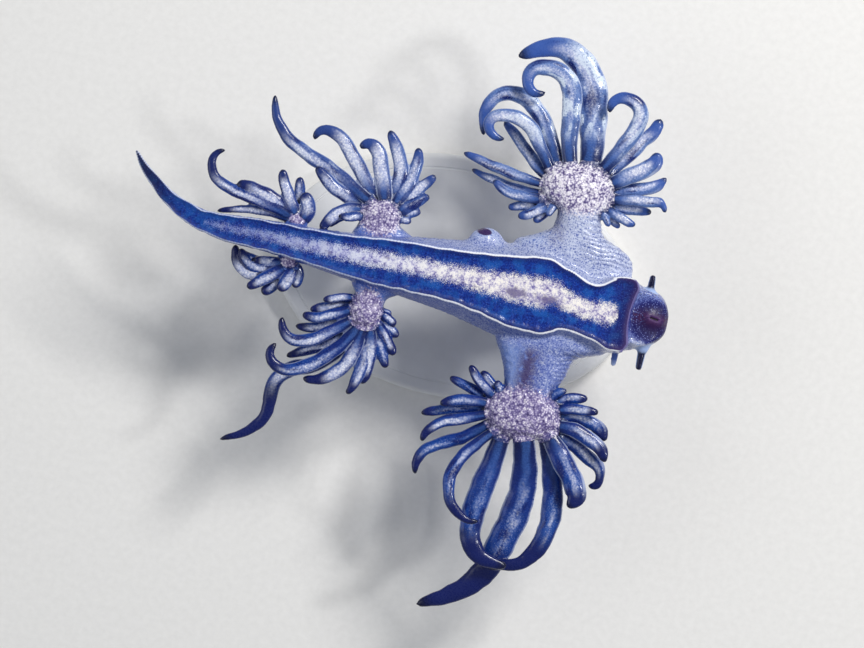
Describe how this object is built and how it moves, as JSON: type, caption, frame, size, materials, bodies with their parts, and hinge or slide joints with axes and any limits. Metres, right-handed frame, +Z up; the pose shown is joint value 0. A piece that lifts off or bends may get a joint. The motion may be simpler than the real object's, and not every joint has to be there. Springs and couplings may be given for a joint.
{
  "type": "blue dragon sea slug on a display stand",
  "caption": "Sea slug afloat foot up, with a tapered tail, arms that end in fans of curled cerata, and a small oval stand with two rods.",
  "frame": {"origin": "centre of the flat underside of the display stand's base", "axes": "+X along the body to the head, +Y to the animal's right, +Z up; the animal floats on its back, so its foot faces +Z"},
  "size_m": [0.0403, 0.0426, 0.0122],
  "materials": {
    "foot": "wet cobalt-blue skin with a silver band",
    "skin": "wet silvery lavender-blue skin",
    "head": "wet dark purple skin",
    "cerata": "wet blue skin with navy tips",
    "feeler": "wet dark blue skin",
    "base": "satin pale grey",
    "rod": "fine satin"
  },
  "bodies": {
    "root": {"head": "head", "torso_front": "foot", "torso_rear": "foot", "tail_base": "foot", "tail_tip": "foot", "arm_front_left": "skin", "arm_front_right": "skin", "arm_mid_left": "skin", "arm_mid_right": "skin", "cerata_front_left": "cerata", "cerata_front_right": "cerata", "cerata_mid_left": "cerata", "cerata_mid_right": "cerata", "cerata_rear_left": "cerata", "cerata_rear_right": "cerata", "oral_tentacle_left": "feeler", "oral_tentacle_right": "feeler", "rhinophore_left": "feeler", "rhinophore_right": "feeler", "genital_papilla": "skin", "stand_base": "base", "stand_rod_front": "rod", "stand_rod_rear": "rod"}
  },
  "joints": []
}
